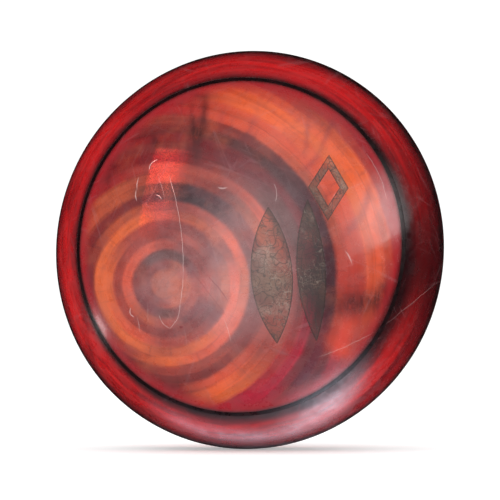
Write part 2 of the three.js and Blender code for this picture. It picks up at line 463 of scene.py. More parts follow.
def body_profile():
    """Radius and axial place of each row, the bias side's land, recess and bore included."""
    points = [(0.0, -HALF_WIDTH)]
    for turn, sunk in body_rows():
        points.append(profile_point(turn, sunk, fullness(-HALF_WIDTH * cos(turn))))
    recess_floor = REAR_LAND - DISC_RECESS_DEPTH
    return points + [
        (REAR_LAND_RADIUS - 0.2, REAR_LAND - 0.02), (REAR_LAND_RADIUS - 0.8, REAR_LAND),
        (DISC_RECESS_RADIUS + 1, REAR_LAND), (DISC_RECESS_RADIUS + 0.25, REAR_LAND - 0.01),
        (DISC_RECESS_RADIUS, REAR_LAND - 0.15), (DISC_RECESS_RADIUS, recess_floor),
        (BORE_RADIUS, recess_floor), (BORE_RADIUS, REAR_LAND - BORE_DEPTH), (0.0, REAR_LAND - BORE_DEPTH),
    ]


def made_round(points):
    """The body's x and z, with the bias side's pocket truly round: it was bored after the bowl shrank."""
    flat = points[:, [0, 2]]
    turned = flat @ UNSHRINK.T
    keep = smooth(DISC_RECESS_RADIUS + 1, REAR_LAND_RADIUS - 0.4, np.linalg.norm(turned, axis=1))
    keep = np.where(points[:, 1] > 0, keep, 1)[:, None]
    return flat * keep + turned * (1 - keep)


def make_body():
    """The turned body with its wear, the recesses of the mark and the open pocket of the bias side."""
    piece = lathe("bowl", body_profile(), AROUND_COUNT)
    points, out, size = surface_of(piece)
    depth = points[:, 1]
    outer = smooth(0.9, 0.985, size) * (depth < REAR_LAND - 0.6)
    recess = smooth(0.5, 1.0, mark_inside(points[:, 0], points[:, 2])) * (depth < 0) * outer
    sunk = wear(points) * outer + recess * (INLAY_THICKNESS + 0.2)
    points = points - out * sunk[:, None]
    points[:, [0, 2]] = made_round(points)
    move_to(piece, points)
    drill_pin_holes(piece, DISC_RECESS_DEPTH - 0.5, PIN_LENGTH + 0.25)
    return piece


def ring_fill(name, turn):
    """The wax line in a ring groove, a little below the body's surface and worn down with it."""
    section = mirrored(WAX_HALF_SECTION, (0, 0.025))
    profile = [profile_point(across_ring(turn, share), sunk) for share, sunk in section]
    piece = lathe(name, profile, AROUND_COUNT)
    wear_down(piece)
    return piece


# ---- The owner's mark: two leaves and a lozenge, placed from the bowl's middle ----
LEAVES = {
    "mark_leaf_left": {"at": (11.8, -9.6), "half": (21, 6.4)},
    "mark_leaf_right": {"at": (23.6, -8.0), "half": (22, 4.4)},
}
LEAF_LEAN = radians(3)
LEAF_COSINE, LEAF_SINE = cos(LEAF_LEAN), sin(LEAF_LEAN)
LEAF_GRID = (150, 44)
LOZENGE = {"at": (28.6, 17.4), "half": (6.2, 10.6), "band": 2.6}
LOZENGE_SIDE_STEPS = 30
LOZENGE_BAND_STEPS = 12
SLATE = {"inlay_leaf_left": 0.0, "inlay_leaf_right": 1.0, "inlay_lozenge": 0.35}
INLAY_THICKNESS = 0.85
INLAY_PROUD = 0.012


def leaf_radius(leaf):
    """Radius of the two arcs that make a leaf's outline."""
    length, width = leaf["half"]
    return (length ** 2 + width ** 2) / (2 * width)


def leaf_inside(x, z, leaf):
    """How far inside a leaf's outline a point is, in millimetres. Negative is outside."""
    middle_x, middle_z = leaf["at"]
    across = (x - middle_x) * LEAF_COSINE + (z - middle_z) * LEAF_SINE
    along = -(x - middle_x) * LEAF_SINE + (z - middle_z) * LEAF_COSINE
    radius, width = leaf_radius(leaf), leaf["half"][1]
    right = radius - np.hypot(across - (width - radius), along)
    left = radius - np.hypot(across + (width - radius), along)
    return np.minimum(right, left)


def lozenge_inside(x, z):
    """How far inside the lozenge's band a point is, in millimetres. Negative is outside."""
    (middle_x, middle_z), (width, height) = LOZENGE["at"], LOZENGE["half"]
    share = 1 - np.abs(x - middle_x) / width - np.abs(z - middle_z) / height
    edge = share / hypot(1 / width, 1 / height)
    return np.minimum(edge, LOZENGE["band"] - edge)


def mark_inside(x, z):
    """How far inside any figure of the mark a point is, in millimetres."""
    depth = lozenge_inside(x, z)
    for leaf in LEAVES.values():
        depth = np.maximum(depth, leaf_inside(x, z, leaf))
    return depth


def leaf_mesh(name, leaf):
    (middle_x, middle_z), (length, width) = leaf["at"], leaf["half"]
    radius = leaf_radius(leaf)
    along = np.linspace(-1, 1, LEAF_GRID[0]) * length * 0.998
    half = np.sqrt(radius ** 2 - along ** 2) - (radius - width)
    across = np.sin(np.linspace(-1, 1, LEAF_GRID[1]) * pi / 2)
    along, across = np.meshgrid(along, across, indexing="ij")
    across = across * half[:, None]
    x = middle_x + across * LEAF_COSINE - along * LEAF_SINE
    z = middle_z + across * LEAF_SINE + along * LEAF_COSINE
    return inlay(name, x, z, leaf_inside(x, z, leaf), False)


def lozenge_mesh(name):
    (middle_x, middle_z), (width, height) = LOZENGE["at"], LOZENGE["half"]
    corners = np.array([(width, 0), (0, height), (-width, 0), (0, -height)], float)
    outline = np.concatenate([
        np.linspace(corners[i], corners[(i + 1) % 4], LOZENGE_SIDE_STEPS, endpoint=False) for i in range(4)
    ])
    inner = 1 - LOZENGE["band"] * hypot(1 / width, 1 / height)
    share = np.linspace(inner, 1, LOZENGE_BAND_STEPS)
    x = middle_x + outline[:, :1] * share
    z = middle_z + outline[:, 1:] * share
    return inlay(name, x, z, lozenge_inside(x, z), True)


def slip_faces(rows, columns, ring):
    """Faces of a closed slip: a grid of points, a second one under it, and the walls between their edges.
    In a ring the rows run right round."""
    under = rows * columns
    faces = []
    edges = []
    for i in range(rows if ring else rows - 1):
        here, there = i * columns, (i + 1) % rows * columns
        for j in range(columns - 1):
            quad = (here + j, here + j + 1, there + j + 1, there + j)
            faces += [quad, tuple(under + corner for corner in reversed(quad))]
        edges += [(here, there), (there + columns - 1, here + columns - 1)]
    if not ring:
        last = (rows - 1) * columns
        for j in range(columns - 1):
            edges += [(j + 1, j), (last + j, last + j + 1)]
    return faces + [(start, end, under + end, under + start) for start, end in edges]


def recalculate_outside(piece):
    edit = bmesh.new()
    edit.from_mesh(piece.data)
    bmesh.ops.recalc_face_normals(edit, faces=edit.faces)
    edit.to_mesh(piece.data)
    edit.free()


def inlay(name, x, z, inside, ring):
    """A thin closed slip that follows the face and its wear, from grids of x, z and how far inside the
    outline each point is. Its edge is rounded down."""
    rounding = 0.03 * np.exp(-np.clip(inside, 0, None) / 0.1)
    top = face_point(x, z, INLAY_PROUD - rounding)
    under = face_point(x, z, np.full(x.shape, -INLAY_THICKNESS))
    points = np.concatenate([top.reshape(-1, 3), under.reshape(-1, 3)])
    piece = new_mesh(name, points, slip_faces(*x.shape, ring))
    wear_down(piece)
    recalculate_outside(piece)
    describe_surface(piece)
    mark_with(piece, edge=np.tile(inside.ravel(), 2), slate=np.full(2 * inside.size, SLATE[name]))
    return piece


# ---- The bias side: disc, pins, plug and weight ----
PIN_PLACES = [(PIN_CIRCLE_RADIUS * cos(angle), PIN_CIRCLE_RADIUS * sin(angle)) for angle in PIN_ANGLES]
SLUG_CLEARANCE = 0.03
SLUG_END_GAP = 0.02


def bar(name, profile, count, at=(0.0, 0.0)):
    """A truly round turned piece: the profile is (radius, axial place) from the plain side."""
    piece = lathe(name, profile, count, round_section=True)
    shift = np.array([at[0], 0, at[1]]) * MM
    for vertex in piece.data.vertices:
        vertex.co += Vector(shift)
    return piece


def drill_pin_holes(piece, from_depth, to_depth):
    """Cuts the three pin holes between two depths below the disc's face."""
    top, bottom = DISC_FACE - from_depth, DISC_FACE - to_depth
    profile = [(0, bottom), (PIN_HOLE_RADIUS, bottom), (PIN_HOLE_RADIUS, top), (0, top)]
    for number, at in enumerate(PIN_PLACES):
        drill = bar(f"drill_{number}", profile, 20, at)
        cut = piece.modifiers.new("hole", "BOOLEAN")
        cut.object = drill
        cut.solver = "EXACT"
        bpy.context.view_layer.update()
        evaluated = piece.evaluated_get(bpy.context.evaluated_depsgraph_get())
        drilled = bpy.data.meshes.new_from_object(evaluated)
        piece.modifiers.remove(cut)
        piece.data = drilled
        bpy.data.objects.remove(drill)


def disc():
    """The ivory-coloured disc, its edge rounded by wear, with its three pin holes."""
    inner = DISC_FACE - DISC_THICKNESS
    face = DISC_FACE - 0.02
    profile = [
        (0, inner), (DISC_RADIUS - 0.15, inner), (DISC_RADIUS, inner + 0.15), (DISC_RADIUS, face - 0.45),
        (DISC_RADIUS - 0.08, face - 0.2), (DISC_RADIUS - 0.24, face - 0.06), (DISC_RADIUS - 0.5, face),
    ]
    profile += [(radius, face) for radius in (11.0, 8.0, 5.0, 2.0, 0)]
    piece = bar("disc", profile, 160)
    drill_pin_holes(piece, -0.5, DISC_THICKNESS + 0.5)
    return piece


def pin(number, at):
    """A pin with a tapered point, its head just below the disc's face."""
    head, point = DISC_FACE - 0.03, DISC_FACE - PIN_LENGTH
    profile = [
        (0, point), (0.25, point + 0.35), (PIN_RADIUS, point + 2), (PIN_RADIUS, head - 0.12),
        (PIN_RADIUS - 0.03, head - 0.05), (PIN_RADIUS - 0.12, head), (0, head),
    ]
    return bar(f"pin_{number}", profile, 28, at)


def slug(name, node, rounding):
    """A cylinder with rounded ends that fills the bore as far as its CAD node does."""
    low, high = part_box(node)
    bottom, top = (low.y - MIDDLE.y) / MM + SLUG_END_GAP, (high.y - MIDDLE.y) / MM - SLUG_END_GAP
    edge = SLUG_RADIUS - SLUG_CLEARANCE - rounding
    steps = [radians(angle) for angle in (0, 22, 45, 68, 90)]
    profile = [(0, bottom)]
    profile += [(edge + rounding * sin(t), bottom + rounding * (1 - cos(t))) for t in steps]
    profile += [(edge + rounding * cos(t), top - rounding * (1 - sin(t))) for t in steps]
    profile += [(0, top)]
    return bar(name, profile, 96)


# ---- Shader nodes ----
class Writing:
    """The material or light that the functions below add their nodes to."""
    material = None
    tree = None
    shader = None


def new_material(name):
    """Starts a material, to be written from here on."""
    Writing.material = bpy.data.materials.new(name)
    Writing.material.use_nodes = True
    Writing.tree = Writing.material.node_tree
    Writing.shader = Writing.tree.nodes["Principled BSDF"]


def finished(colour, roughness, **others):
    """The material, with its colour, its roughness and other sockets by name, _ for a space."""
    sockets = {"Base Color": colour, "Roughness": roughness, **others}
    for name, source in sockets.items():
        link(source, Writing.shader.inputs[name.replace("_", " ")])
    return Writing.material


def link(source, socket):
    """Sets a socket to a constant, or joins another node's output to it."""
    if isinstance(source, (int, float, tuple)):
        socket.default_value = source
    else:
        Writing.tree.links.new(source, socket)


def new_node(kind, inputs=None, **settings):
    """A node of some kind, its inputs linked or set by name or number."""
    node = Writing.tree.nodes.new("ShaderNode" + kind)
    for key, value in settings.items():
        setattr(node, key, value)
    for key, value in (inputs or {}).items():
        link(value, node.inputs[key])
    return node


def stored(name):
    """A number that describe_surface has stored on the points."""
    return new_node("Attribute", attribute_name=name).outputs["Fac"]


def place():
    """Where a point of the piece is, in metres."""
    return new_node("TexCoord").outputs["Object"]


def maths(operation, a, b=0.0, c=0.0):
    return new_node("Math", {0: a, 1: b, 2: c}, operation=operation).outputs[0]


def off(value, middle):
    """How far a value is from a middle, on either side."""
    return maths("ABSOLUTE", maths("SUBTRACT", value, middle))


def times(*values):
    product = values[0]
    for value in values[1:]:
        product = maths("MULTIPLY", product, value)
    return product


def vector(x=0.0, y=0.0, z=0.0):
    return new_node("CombineXYZ", {"X": x, "Y": y, "Z": z}).outputs[0]


def vector_maths(operation, *values, output="Vector"):
    return new_node("VectorMath", dict(enumerate(values)), operation=operation).outputs[output]


def spread(value, low, high, to_low=0.0, to_high=1.0):
    """An eased slope: to_low where the value is low, to_high where it is high."""
    inputs = {"Value": value, "From Min": low, "From Max": high, "To Min": to_low, "To Max": to_high}
    return new_node("MapRange", inputs, interpolation_type="SMOOTHSTEP").outputs["Result"]


def noise(scale, detail=3.0, roughness=0.5, distortion=0.0, on=None):
    """Cloudy values between 0 and 1, over the piece or over another vector."""
    inputs = {"Vector": on or place(), "Scale": scale, "Detail": detail}
    return new_node("TexNoise", inputs | {"Roughness": roughness, "Distortion": distortion}).outputs["Fac"]


def mapped(source, **inputs):
    """A vector moved, turned or scaled."""
    return new_node("Mapping", {"Vector": source, **inputs}).outputs[0]


def stretched(degrees, along, across):
    """The place turned about Y and scaled, so that a noise on it draws fine strokes."""
    turned = mapped(place(), Rotation=(0.0, radians(degrees), 0.0))
    return mapped(turned, Scale=(along, 0.03 * across, across))


def mix(amount, a, b, blend="MIX"):
    node = new_node("Mix", data_type="RGBA", blend_type=blend)
    link(amount, node.inputs["Factor"])
    for name, source in (("A", a), ("B", b)):
        link(source, next(socket for socket in node.inputs if (socket.name, socket.type) == (name, "RGBA")))
    return next(socket for socket in node.outputs if socket.type == "RGBA")


def ramp(value, stops):
    """Colours along a value: stops are (position, colour)."""
    node = new_node("ValToRGB", {"Fac": value})
    node.color_ramp.interpolation = "EASE"
    elements = node.color_ramp.elements
    for _ in range(len(stops) - 2):
        elements.new(0.5)
    for element, (position, colour) in zip(elements, stops):
        element.position = position
        element.color = colour
    return node.outputs["Color"]


def bump(height, strength, distance):
    inputs = {"Height": height, "Strength": strength, "Distance": distance}
    link(new_node("Bump", inputs).outputs[0], Writing.shader.inputs["Normal"])


def rgb(red, green, blue):
    """A colour given as it is seen on screen, from 0 to 255, as the shaders need it."""
    linear = [c / 255 / 12.92 if c <= 10 else ((c / 255 + 0.055) / 1.055) ** 2.4 for c in (red, green, blue)]
    return (*linear, 1.0)


# ---- Materials ----
# What the letters of RINGS stand for
TONES = {
    "a": rgb(156, 67, 46),  # the tan round the pith
    "b": rgb(174, 74, 46),  # light tan
    "c": rgb(206, 76, 48),  # coral
    "o": rgb(210, 91, 44),  # orange
    "f": rgb(226, 92, 44),  # the brightest orange
    "e": rgb(172, 54, 44),  # ember
    "r": rgb(155, 56, 45),  # rust
    "s": rgb(122, 40, 38),  # reddish brown
    "u": rgb(86, 40, 40),  # umber
    "w": rgb(108, 29, 37),  # wine
    "v": rgb(150, 31, 34),  # dark red
    "m": rgb(122, 24, 28),  # the darkest red
    "k": rgb(166, 36, 38),  # red
    "z": rgb(172, 16, 48),  # crimson
    "y": rgb(92, 14, 36),  # maroon
    "p": rgb(70, 33, 42),  # plum
    "n": rgb(52, 28, 36),  # the darkest ring
}


def grain_colour():
    """The end grain as it shows through the varnish, by direction and distance from the pith."""
    ray_x, ray_y = stored("ray_x"), stored("ray_y")
    growth = stored("growth")
    growth = maths("ADD", growth, maths("MULTIPLY_ADD", noise(45, 3), 1.6, -0.8))
    growth = maths("ADD", growth, maths("MULTIPLY_ADD", noise(260, 3, 0.6), 0.7, -0.35))
    edges = maths("SINE", times(growth, 2 * pi / RING_STEP))
    growth = maths("SUBTRACT", growth, times(edges, 0.42))
    share = maths("DIVIDE", growth, RING_STEP * (RING_COUNT - 1))
    colour = None
    for i, direction in enumerate(sorted(RINGS)):
        stops = [(k / (RING_COUNT - 1), TONES[letter]) for k, letter in enumerate(RINGS[direction])]
        rings = ramp(share, stops)
        colour = rings if colour is None else mix(stored(f"rings_{i}"), colour, rings)
    wound = vector(growth, times(ray_x, 2.0), times(ray_y, 2.0))
    fine_rings = spread(noise(0.85, 4, 0.6, on=wound), 0.42, 0.7, 0, 0.28)
    colour = mix(fine_rings, colour, rgb(110, 50, 48), "MULTIPLY")
    rays = noise(22, 4, 0.65, on=vector(ray_x, ray_y, times(growth, 0.006)))
    colour = mix(spread(rays, 0.5, 0.78, 0, 0.3), colour, rgb(84, 34, 40))
    dark_clouds = noise(95, 4, 0.62, 0.6)
    colour = mix(spread(dark_clouds, 0.45, 0.72, 0, 0.24), colour, rgb(108, 40, 44))
    pale_clouds = noise(80, 4, 0.6, on=mapped(place(), Location=(0.3, 0.1, 0.7)))
    return mix(spread(pale_clouds, 0.5, 0.8, 0, 0.22), colour, rgb(222, 104, 60))


def stained(colour):
    """Knots, cracks and smoky streaks in the grain."""
    colour = mix(stored("ember"), colour, rgb(212, 66, 42))
    colour = mix(stored("plum"), colour, rgb(120, 48, 56))
    curls = noise(1.0, 4, 0.6, 1.6, on=stretched(90, 160, 520))
    soot = times(stored("soot"), spread(curls, 0.25, 0.6, 0.65, 1.15))
    return mix(maths("MINIMUM", soot, 1.0), colour, rgb(48, 20, 24))


def red_varnish(colour):
    """The red stain left outside the ring line, streaked along the grain, with painted shade on the bowl's
    right side, and the dark sole.
    Gives the colour, and how far each point is on the sole."""
    turn = stored("turn")
    ray_x, ray_y = stored("ray_x"), stored("ray_y")
    along = vector(times(ray_x, 1.6), times(ray_y, 1.6), times(turn, 9.0))
    streaks = noise(1.6, 5, 0.62, 0.5, on=along)
    red = mix(spread(streaks, 0.35, 0.75), rgb(204, 22, 24), rgb(126, 13, 19))
    by_ring = spread(turn, FRONT_RING_TURN + 0.13, FRONT_RING_TURN + 0.03)
    by_sole = spread(turn, TRACK_TURN - 0.16, TRACK_TURN - 0.05)
    red = mix(times(maths("ADD", by_ring, by_sole), 0.6), red, rgb(104, 18, 28))
    # Painted shade: the red band goes near black on the bowl's right side, where less light falls
    red = mix(times(stored("shadowed"), 0.93), red, rgb(26, 7, 10))
    fringe = spread(turn, FRONT_RING_TURN - 0.14, FRONT_RING_TURN - 0.03)
    bare = maths("MULTIPLY_ADD", stored("ember"), -0.85, 1.0)
    colour = mix(times(fringe, bare, 0.85), colour, rgb(160, 24, 34))
    outside = spread(turn, FRONT_RING_TURN - 0.02, FRONT_RING_TURN + 0.02)
    colour = mix(times(outside, 0.9), colour, red)
    uneven = maths("MULTIPLY_ADD", noise(46, 4, 0.6), 0.09, -0.045)
    sole_turn = maths("ADD", stored("sole_turn"), uneven)
    sole = spread(sole_turn, TRACK_TURN - 0.08, TRACK_TURN + 0.05)
    grime_clouds = spread(noise(120, 5, 0.65), 0.35, 0.62)
    grime = mix(grime_clouds, rgb(18, 8, 11), rgb(66, 15, 19))
    grime = mix(spread(streaks, 0.5, 0.72, 0, 0.7), grime, rgb(96, 18, 24))
    colour = mix(times(sole, 0.93), colour, grime)
    # A dark band along the ring line, widest low on the right
    dirt = times(stored("ring_dirt"), spread(noise(150, 4), 0.25, 0.65, 0.8, 0.97))
    return mix(dirt, colour, rgb(28, 8, 12)), sole


def bloom_and_painted_haze(colour, white, *strengths):
    """Whitish haze: partly the bloom of old varnish, partly a painted reflection of the light in front."""
    clouds = spread(noise(130, 5, 0.7), 0.25, 0.7, 0.09, 0.22)
    return mix(times(stored("bloom"), clouds, *strengths), colour, white)


# Scratches that show by themselves, each an arc through three points of the end grain in
# millimetres from the pith: (start, middle, end, half width, strength)
PALE_SCRATCHES = [
    ((1.1, 32.8), (4.6, 17.5), (5.4, 3.1), 0.07, 0.42),
    ((5.4, 3.1), (5.15, -1.5), (4.4, -6.1), 0.08, 0.5),
    ((4.4, -6.1), (3.5, -10.6), (1.1, -13.6), 0.07, 0.42),
    ((1.1, -13.6), (-0.7, -12.2), (-2.1, -9.5), 0.07, 0.4),
    ((-2.3, 32.8), (-1.3, 30), (-0.5, 27), 0.07, 0.35),
    ((-2.9, 38.3), (-4.6, 37.3), (-5.2, 35.3), 0.13, 0.45),
    ((-8.7, 32.5), (-9, 31), (-9, 29.4), 0.16, 0.5),
    ((-9.2, 28.8), (-9.4, 27.3), (-9.1, 25.8), 0.14, 0.45),
    ((-2.9, 27.4), (-2, 27), (-1.4, 26.2), 0.16, 0.45),
    ((-11, -7.4), (-11, -9.4), (-10, -10.2), 0.12, 0.45),
    ((-9, -10.4), (-8.5, -12.4), (-8.3, -14.6), 0.1, 0.35),
    ((-5.7, -6.4), (-5.6, -9.6), (-5.7, -12.9), 0.08, 0.25),
    ((18, -11), (19, -13.8), (19.8, -16.9), 0.09, 0.42),
    ((5.8, -14.4), (6.1, -16), (6.3, -17.6), 0.08, 0.3),
    ((72, -9.8), (78.4, -5), (84.4, -0.6), 0.09, 0.4),
    ((46.8, -22.6), (55, -19.6), (63, -15.8), 0.08, 0.3),
    ((16.2, 29.6), (17.4, 29.2), (18.6, 29.5), 0.22, 0.35),
    ((55.2, 9.4), (56, 8.2), (56.6, 6.6), 0.3, 0.4),
    ((33, 30.6), (34, 28), (33.4, 25.2), 0.1, 0.3),
    ((62, 40), (66, 33), (68, 26), 0.07, 0.3),
]
DARK_CRACKS = [
    ((9.9, 1.5), (12.8, -2.2), (16, -6.4), 0.2, 0.5),
    ((13.4, 1.9), (16.2, -1), (18.6, -4.6), 0.2, 0.55),
    ((4.5, -12.9), (4.75, -13.1), (5, -12.9), 0.4, 0.75),
    ((41.4, -36.6), (41.2, -39.4), (41.6, -42.4), 0.25, 0.5),
]


def circle_through(a, b, c):
    """Middle and radius of the circle through three points."""
    (ax, ay), (bx, by), (cx, cy) = a, b, c
    d = 2 * (ax * (by - cy) + bx * (cy - ay) + cx * (ay - by))
    aa, bb, cc = ax * ax + ay * ay, bx * bx + by * by, cx * cx + cy * cy
    x = (aa * (by - cy) + bb * (cy - ay) + cc * (ay - by)) / d
    y = (aa * (cx - bx) + bb * (ax - cx) + cc * (bx - ax)) / d
    return x, y, hypot(ax - x, ay - y)


def arc_lines(arcs):
    """How strongly any of the arcs covers a point of the plain face. A fine waver roughens them."""
    waver = new_node("TexNoise", {"Vector": place(), "Scale": 320.0, "Detail": 2.0}).outputs["Color"]
    waver = vector_maths("SUBTRACT", waver, (0.5, 0.5, 0.5))
    in_metres = vector_maths("SUBTRACT", place(), tuple(MIDDLE))
    in_mm = new_node("VectorMath", {0: in_metres, 3: 1 / MM}, operation="SCALE").outputs[0]
    in_mm = vector_maths("MULTIPLY_ADD", waver, (0.5, 0.5, 0.5), in_mm)
    across = (cos(GRAIN_LEAN), sin(GRAIN_LEAN), 0.0)
    up = (0.0, -sin(GRAIN_RISE), cos(GRAIN_RISE))
    u = vector_maths("DOT_PRODUCT", in_mm, across, output="Value")
    v = vector_maths("DOT_PRODUCT", in_mm, up, output="Value")
    on_grain = vector(u, v)
    total = 0.0
    for start, middle, end, half_width, strength in arcs:
        x, y, radius = circle_through(start, middle, end)
        outward = Vector((start[0] + end[0] - 2 * x, start[1] + end[1] - 2 * y, 0)).normalized()
        reach = Vector((start[0] - x, start[1] - y, 0)).dot(outward)
        from_middle = vector_maths("SUBTRACT", on_grain, (x + PITH[0], y + PITH[1], 0.0))
        off_arc = off(vector_maths("LENGTH", from_middle, output="Value"), radius)
        ahead = vector_maths("DOT_PRODUCT", from_middle, tuple(outward), output="Value")
        line = spread(off_arc, half_width * 1.6, half_width * 0.3, 0, strength)
        between_ends = spread(ahead, reach - 0.15, reach + 0.3)
        total = maths("MAXIMUM", total, times(line, between_ends))
    depth = new_node("SeparateXYZ", {0: in_mm}).outputs[1]
    return times(total, spread(depth, -10.0, -16.0))


# Fine scratches: (direction in degrees, scale along them, scale across them, strength)
HAIRLINES = [(24, 9, 210, 0.8), (66, 8, 170, 0.6), (112, 12, 240, 0.8), (158, 9, 190, 0.7)]


def hairlines():
    """Long fine scratches from play, in a few directions, each coming and going along its length."""
    total = 0.0
    for degrees, along, across, strength in HAIRLINES:
        off_line = off(noise(1.0, 2, 0.5, on=stretched(degrees, along, across)), 0.5)
        gaps = noise(1.0, 2, on=stretched(degrees, 70, 240))
        broken = spread(gaps, 0.54, 0.68, 0, strength)
        total = maths("MAXIMUM", total, times(spread(off_line, 0.012, 0.003), broken))
    return total


def varnished_wood():
    """The body: end grain under worn red varnish, with its stains, scratches and scuffs, a whitish haze that
    is partly painted reflection, and painted shade on the red band.
    """
    new_material("varnished_wood")
    colour, sole = red_varnish(stained(grain_colour()))
    # Whitish haze, partly painted reflection
    colour = bloom_and_painted_haze(colour, rgb(226, 198, 200))
    specks = spread(noise(1100, 4, 0.7), 0.64, 0.74)
    scuffs = times(specks, spread(stored("turn"), 1.15, 1.4, 0.0, 0.4))
    worn = maths("MAXIMUM", times(hairlines(), 0.11), scuffs)
    colour = mix(worn, colour, rgb(196, 150, 156))
    colour = mix(arc_lines(DARK_CRACKS), colour, rgb(112, 14, 34))
    colour = mix(arc_lines(PALE_SCRATCHES), colour, rgb(236, 208, 204))
    roughness = spread(noise(230, 5, 0.68), 0.32, 0.7, 0.22, 0.38)
    roughness = maths("ADD", roughness, times(scuffs, 0.25))
    roughness = maths("SUBTRACT", roughness, times(stored("polished"), 0.08))
    roughness = maths("ADD", roughness, times(stored("dull"), 0.2))
    roughness = maths("ADD", roughness, times(sole, 0.08))
    gloss = spread(noise(150, 6, 0.75), 0.35, 0.7, 0.15, 0.7)
    coat = times(gloss, spread(stored("ring_dirt"), 0.1, 0.9, 1.0, 0.1))
    bump(noise(420, 4, 0.6), 0.06, 0.0004)
    return finished(colour, roughness, IOR=1.6, Coat_Weight=coat, Coat_IOR=1.5, Coat_Roughness=0.08)


def contour_lines(scales, side, across, outer, inner, strength):
    """Fine crossing scratches: the contours of a few noises, each (scale, number of levels)."""
    total = 0.0
    for scale, levels in scales:
        strokes = stretched(side * scale, 1.0, across)
        heights = times(noise(scale, 1, 0.4, on=strokes), levels)
        off_level = off(maths("FRACT", heights), 0.5)
        total = maths("MAXIMUM", total, spread(off_level, outer, inner, 0, strength))
    return total


def olive_composition():
    """The mark's filling: olive grey, scratched in many directions, with the grain showing through, a
    painted silvery sheen, and a whitish haze that is partly painted reflection.
    """
    new_material("olive_composition")
    slate = stored("slate")
    olive = mix(slate, rgb(96, 66, 54), rgb(62, 46, 44))
    olive = mix(spread(noise(140, 4, 0.6), 0.42, 0.7, 0, 0.8), olive, rgb(92, 66, 56))
    sandy = times(spread(noise(60, 3), 0.5, 0.7, 0, 0.5), maths("SUBTRACT", 1.0, slate))
    olive = mix(sandy, olive, rgb(122, 92, 70))
    showing = spread(noise(90, 3), 0.35, 0.65, 0.15, 0.7)
    colour = mix(showing, olive, grain_colour())
    dark = contour_lines([(105, 9.0), (150, 8.0), (230, 6.0)], 1, 1.6, 0.075, 0.02, 0.62)
    colour = mix(dark, colour, rgb(46, 38, 36))
    bright = contour_lines([(170, 7.0), (260, 6.0)], -1, 2.2, 0.06, 0.015, 0.4)
    bright = times(bright, spread(noise(120, 3), 0.42, 0.62))
    colour = mix(bright, colour, rgb(150, 132, 118))
    # Painted sheen: pale silvery mottles that stand in for the filling's highlights
    painted_silvery_sheen = spread(noise(75, 5, 0.7), 0.5, 0.72, 0, 0.5)
    colour = mix(times(painted_silvery_sheen, maths("SUBTRACT", 1.0, dark)), colour, rgb(160, 144, 130))
    colour = mix(spread(stored("edge"), 0.6, 0.15, 0, 0.8), colour, rgb(44, 26, 24))
    # Whitish haze, partly painted reflection
    colour = bloom_and_painted_haze(colour, rgb(226, 206, 200), 0.6)
    bump(times(dark, -0.5), 0.15, 0.0003)
    roughness = spread(dark, 0, 0.7, 0.36, 0.6)
    return finished(colour, roughness, IOR=1.45, Coat_Weight=0.2, Coat_IOR=1.5, Coat_Roughness=0.08)


def black_wax():
    """The ring lines' filling, with a few pale specks."""
    new_material("black_wax")
    colour = mix(spread(noise(300, 4), 0.4, 0.8), rgb(26, 8, 11), rgb(44, 13, 17))
    specks = spread(noise(1100, 3, 0.7), 0.64, 0.76, 0, 0.2)
    colour = mix(specks, colour, rgb(110, 82, 88))
    roughness = spread(noise(420, 4, 0.6), 0.3, 0.7, 0.24, 0.42)
    bump(noise(700, 4, 0.6), 0.12, 0.0003)
    return finished(colour, roughness, IOR=1.42, Coat_Weight=0.12, Coat_Roughness=0.12)


def from_disc_middle():
    """Distance in millimetres from the line through the disc's middle."""
    offset = vector_maths("SUBTRACT", place(), tuple(DISC_MIDDLE))
    flat = vector_maths("MULTIPLY", offset, (1 / MM, 0.0, 1 / MM))
    return vector_maths("LENGTH", flat, output="Value")


def ivory_disc():
    """Yellowed ivory colour with layers, fine cracks and the rings left by turning."""
    new_material("ivory_disc")
    radius = from_disc_middle()
    layers = noise(1.0, 3, 0.55, 0.4, on=stretched(12, 90, 900))
    colour = mix(spread(layers, 0.35, 0.7), rgb(214, 196, 152), rgb(186, 158, 106))
    yellowed = spread(noise(140, 4, 0.6), 0.45, 0.75, 0, 0.6)
    colour = mix(yellowed, colour, rgb(158, 118, 70))
    cells = {"Vector": place(), "Scale": 230.0, "Randomness": 1.0}
    cracks = new_node("TexVoronoi", cells, feature="DISTANCE_TO_EDGE").outputs["Distance"]
    cracked = times(spread(cracks, 0.035, 0.0), spread(noise(90, 2), 0.45, 0.6, 0, 0.75))
    colour = mix(cracked, colour, rgb(70, 44, 26))
    rim = spread(radius, DISC_RADIUS - 1.3, DISC_RADIUS - 0.1, 0, 0.8)
    colour = mix(rim, colour, rgb(96, 56, 32))
    turned = maths("SINE", times(radius, 2 * pi / 0.42))
    lines = hairlines()
    dulled = maths("ADD", noise(300, 4), times(lines, 0.3))
    cut = maths("MAXIMUM", cracked, times(lines, 0.5))
    bump(maths("SUBTRACT", times(turned, 0.06), cut), 0.25, 0.0003)
    roughness = spread(dulled, 0.3, 0.9, 0.3, 0.55)
    return finished(colour, roughness, IOR=1.5, Coat_Weight=0.25, Coat_Roughness=0.15)


def brass_pin():
    """Tarnished brass with the marks of a file."""
    new_material("brass_pin")
    tarnish = noise(900, 4, 0.6)
    colour = mix(spread(tarnish, 0.35, 0.7), rgb(204, 166, 92), rgb(112, 82, 44))
    bump(noise(1.0, 2, on=stretched(30, 200, 4200)), 0.4, 0.0001)
    return finished(colour, spread(tarnish, 0.3, 0.7, 0.42, 0.6), Metallic=0.8)


def cast_lead():
    new_material("cast_lead")
    bloom = noise(260, 5, 0.65)
    colour = mix(spread(bloom, 0.35, 0.7), rgb(104, 108, 116), rgb(168, 170, 172))
    bump(noise(600, 5, 0.7), 0.5, 0.0004)
    return finished(colour, spread(bloom, 0.3, 0.7, 0.42, 0.7), Metallic=1.0)


